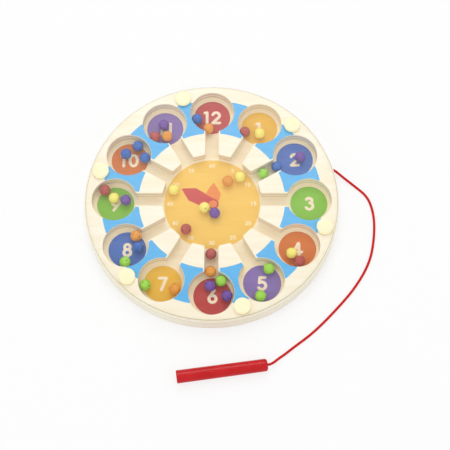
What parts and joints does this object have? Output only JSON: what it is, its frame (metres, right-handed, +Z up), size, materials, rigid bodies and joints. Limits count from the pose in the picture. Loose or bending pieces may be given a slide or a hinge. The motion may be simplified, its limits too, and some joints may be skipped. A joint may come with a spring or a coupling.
{
  "type": "magnetic bead maze clock board",
  "caption": "Round plywood clock maze with coloured beads under a clear cover, rolled to the hours with a tethered magnetic wand.",
  "frame": {"origin": "centre of the board's underside, on the table", "axes": "+Z up through the board and its cover, +Y towards 12 o'clock, +X towards 3 o'clock; the wand lies on the table past 6 o'clock"},
  "size_m": [0.3446, 0.3656, 0.0314],
  "materials": {
    "base_panel_plywood": "sanded and sealed",
    "maze_plate_plywood": "sanded and sealed, printed on its wells and dial",
    "clear_acrylic": "clear, polished",
    "screw_steel": "zinc-plated",
    "cup_plastic": "moulded",
    "cap_plastic": "moulded, glossy",
    "wand_plastic": "moulded, glossy",
    "magnet": "ground ferrite",
    "cord": "braided",
    "bead_red": "moulded, glossy",
    "bead_orange": "moulded, glossy",
    "bead_yellow": "moulded, glossy",
    "bead_green": "moulded, glossy",
    "bead_blue": "moulded, glossy",
    "bead_purple": "moulded, glossy"
  },
  "bodies": {
    "board": {"base_panel": "base_panel_plywood", "maze_plate": "maze_plate_plywood", "clear_cover": "clear_acrylic", "cover_screws": "screw_steel", "cap_cups": "cup_plastic", "screw_cap_1": "cap_plastic", "screw_cap_2": "cap_plastic", "screw_cap_3": "cap_plastic", "screw_cap_4": "cap_plastic", "screw_cap_5": "cap_plastic", "screw_cap_6": "cap_plastic", "cord": "cord"},
    "wand": {"wand_barrel": "wand_plastic", "wand_end_cap": "wand_plastic", "wand_magnet": "magnet", "wand_cord_knot": "cord"},
    "bead_12_blue": {"bead_12_blue": "bead_blue"},
    "bead_12_orange": {"bead_12_orange": "bead_orange"},
    "bead_11_purple": {"bead_11_purple": "bead_purple"},
    "bead_11_red": {"bead_11_red": "bead_red"},
    "bead_11_orange": {"bead_11_orange": "bead_orange"},
    "bead_10_blue_a": {"bead_10_blue_a": "bead_blue"},
    "bead_10_blue_b": {"bead_10_blue_b": "bead_blue"},
    "bead_10_blue_c": {"bead_10_blue_c": "bead_blue"},
    "bead_9_red": {"bead_9_red": "bead_red"},
    "bead_9_yellow": {"bead_9_yellow": "bead_yellow"},
    "bead_9_purple": {"bead_9_purple": "bead_purple"},
    "bead_8_orange": {"bead_8_orange": "bead_orange"},
    "bead_8_blue": {"bead_8_blue": "bead_blue"},
    "bead_8_green": {"bead_8_green": "bead_green"},
    "bead_7_green": {"bead_7_green": "bead_green"},
    "bead_7_orange": {"bead_7_orange": "bead_orange"},
    "bead_6_red": {"bead_6_red": "bead_red"},
    "bead_6_orange": {"bead_6_orange": "bead_orange"},
    "bead_6_green": {"bead_6_green": "bead_green"},
    "bead_6_purple_a": {"bead_6_purple_a": "bead_purple"},
    "bead_6_purple_b": {"bead_6_purple_b": "bead_purple"},
    "bead_5_green_a": {"bead_5_green_a": "bead_green"},
    "bead_5_green_b": {"bead_5_green_b": "bead_green"},
    "bead_4_yellow": {"bead_4_yellow": "bead_yellow"},
    "bead_4_red": {"bead_4_red": "bead_red"},
    "bead_2_purple": {"bead_2_purple": "bead_purple"},
    "bead_2_blue": {"bead_2_blue": "bead_blue"},
    "bead_2_green": {"bead_2_green": "bead_green"},
    "bead_1_red": {"bead_1_red": "bead_red"},
    "bead_1_yellow": {"bead_1_yellow": "bead_yellow"},
    "bead_dial_yellow_a": {"bead_dial_yellow_a": "bead_yellow"},
    "bead_dial_orange": {"bead_dial_orange": "bead_orange"},
    "bead_dial_yellow_b": {"bead_dial_yellow_b": "bead_yellow"},
    "bead_dial_yellow_c": {"bead_dial_yellow_c": "bead_yellow"},
    "bead_dial_purple": {"bead_dial_purple": "bead_purple"},
    "bead_dial_red": {"bead_dial_red": "bead_red"}
  },
  "joints": [
    {"name": "roll_12_blue", "type": "slide", "parent": "board", "child": "bead_12_blue", "axis": [0.4226, 0.9063, 0], "range_m": [0, 0.026]},
    {"name": "roll_12_orange", "type": "slide", "parent": "board", "child": "bead_12_orange", "axis": [0.3007, 0.9537, 0], "range_m": [-0.0005, 0.0385]},
    {"name": "roll_11_purple", "type": "slide", "parent": "board", "child": "bead_11_purple", "axis": [0.7071, 0.7071, 0], "range_m": [0, 0.019]},
    {"name": "roll_11_red", "type": "slide", "parent": "board", "child": "bead_11_red", "axis": [0.2164, -0.9763, 0], "range_m": [-0.024, 0.0015]},
    {"name": "roll_11_orange", "type": "slide", "parent": "board", "child": "bead_11_orange", "axis": [0.7071, 0.7071, 0], "range_m": [-0.001, 0.0235]},
    {"name": "roll_10_blue_a", "type": "slide", "parent": "board", "child": "bead_10_blue_a", "axis": [0.9659, -0.2588, 0], "range_m": [-0.015, 0.0035]},
    {"name": "roll_10_blue_b", "type": "slide", "parent": "board", "child": "bead_10_blue_b", "axis": [0.9537, 0.3007, 0], "range_m": [-0.016, 0.0005]},
    {"name": "roll_10_blue_c", "type": "slide", "parent": "board", "child": "bead_10_blue_c", "axis": [0.9239, 0.3827, 0], "range_m": [-0.035, 0.0005]},
    {"name": "roll_9_red", "type": "slide", "parent": "board", "child": "bead_9_red", "axis": [0.3007, 0.9537, 0], "range_m": [-0.0215, 0.001]},
    {"name": "roll_9_yellow", "type": "slide", "parent": "board", "child": "bead_9_yellow", "axis": [0.5, 0.866, 0], "range_m": [-0.0005, 0.0155]},
    {"name": "roll_9_purple", "type": "slide", "parent": "board", "child": "bead_9_purple", "axis": [0.5, 0.866, 0], "range_m": [-0.0245, 0.0085]},
    {"name": "roll_8_orange", "type": "slide", "parent": "board", "child": "bead_8_orange", "axis": [0.9962, -0.0872, 0], "range_m": [-0.0225, 0.003]},
    {"name": "roll_8_blue", "type": "slide", "parent": "board", "child": "bead_8_blue", "axis": [0.9962, -0.0872, 0], "range_m": [-0.0335, 0.005]},
    {"name": "roll_8_green", "type": "slide", "parent": "board", "child": "bead_8_green", "axis": [0.9063, -0.4226, 0], "range_m": [-0.0175, 0.003]},
    {"name": "roll_7_green", "type": "slide", "parent": "board", "child": "bead_7_green", "axis": [0.7934, 0.6088, 0], "range_m": [-0.0005, 0.0395]},
    {"name": "roll_7_orange", "type": "slide", "parent": "board", "child": "bead_7_orange", "axis": [0.9659, 0.2588, 0], "range_m": [-0.0275, 0.002]},
    {"name": "roll_6_red", "type": "slide", "parent": "board", "child": "bead_6_red", "axis": [0.0436, -0.999, 0], "range_m": [-0.0355, 0]},
    {"name": "roll_6_orange", "type": "slide", "parent": "board", "child": "bead_6_orange", "axis": [0, 1, 0], "range_m": [-0.0035, 0.008]},
    {"name": "roll_6_green", "type": "slide", "parent": "board", "child": "bead_6_green", "axis": [0.7071, -0.7071, 0], "range_m": [-0.001, 0.0065]},
    {"name": "roll_6_purple_a", "type": "slide", "parent": "board", "child": "bead_6_purple_a", "axis": [0.9962, 0.0872, 0], "range_m": [-0.016, 0]},
    {"name": "roll_6_purple_b", "type": "slide", "parent": "board", "child": "bead_6_purple_b", "axis": [0.9962, 0.0872, 0], "range_m": [-0.037, 0.0015]},
    {"name": "roll_5_green_a", "type": "slide", "parent": "board", "child": "bead_5_green_a", "axis": [0.6428, 0.766, 0], "range_m": [-0.037, 0.0015]},
    {"name": "roll_5_green_b", "type": "slide", "parent": "board", "child": "bead_5_green_b", "axis": [0.6428, 0.766, 0], "range_m": [-0.0025, 0.0305]},
    {"name": "roll_4_yellow", "type": "slide", "parent": "board", "child": "bead_4_yellow", "axis": [0.7934, 0.6088, 0], "range_m": [-0.01, 0.029]},
    {"name": "roll_4_red", "type": "slide", "parent": "board", "child": "bead_4_red", "axis": [0.7934, 0.6088, 0], "range_m": [-0.0035, 0.0205]},
    {"name": "roll_2_purple", "type": "slide", "parent": "board", "child": "bead_2_purple", "axis": [0.1305, -0.9914, 0], "range_m": [-0.0185, 0.0185]},
    {"name": "roll_2_blue", "type": "slide", "parent": "board", "child": "bead_2_blue", "axis": [0.8192, 0.5736, 0], "range_m": [-0.005, 0.0185]},
    {"name": "roll_2_green", "type": "slide", "parent": "board", "child": "bead_2_green", "axis": [0.8192, 0.5736, 0], "range_m": [-0.021, 0]},
    {"name": "roll_1_red", "type": "slide", "parent": "board", "child": "bead_1_red", "axis": [0.7373, 0.6756, 0], "range_m": [0, 0.0365]},
    {"name": "roll_1_yellow", "type": "slide", "parent": "board", "child": "bead_1_yellow", "axis": [0.7373, 0.6756, 0], "range_m": [-0.0115, 0.0245]},
    {"name": "roll_dial_yellow_a", "type": "slide", "parent": "board", "child": "bead_dial_yellow_a", "axis": [0.5736, -0.8192, 0], "range_m": [-0.018, 0]},
    {"name": "roll_dial_orange", "type": "slide", "parent": "board", "child": "bead_dial_orange", "axis": [0.999, -0.0436, 0], "range_m": [-0.062, 0.002]},
    {"name": "roll_dial_yellow_b", "type": "slide", "parent": "board", "child": "bead_dial_yellow_b", "axis": [0.9848, -0.1736, 0], "range_m": [-0.0035, 0.099]},
    {"name": "roll_dial_yellow_c", "type": "slide", "parent": "board", "child": "bead_dial_yellow_c", "axis": [0.9848, -0.1736, 0], "range_m": [-0.0495, 0.0005]},
    {"name": "roll_dial_purple", "type": "slide", "parent": "board", "child": "bead_dial_purple", "axis": [0.5736, -0.8192, 0], "range_m": [0, 0.061]},
    {"name": "roll_dial_red", "type": "slide", "parent": "board", "child": "bead_dial_red", "axis": [0.6756, -0.7373, 0], "range_m": [-0.0285, 0.018]},
    {"name": "wand_lift", "type": "slide", "parent": "board", "child": "wand", "axis": [0, 0, 1], "range_m": [0, 0.06]}
  ]
}
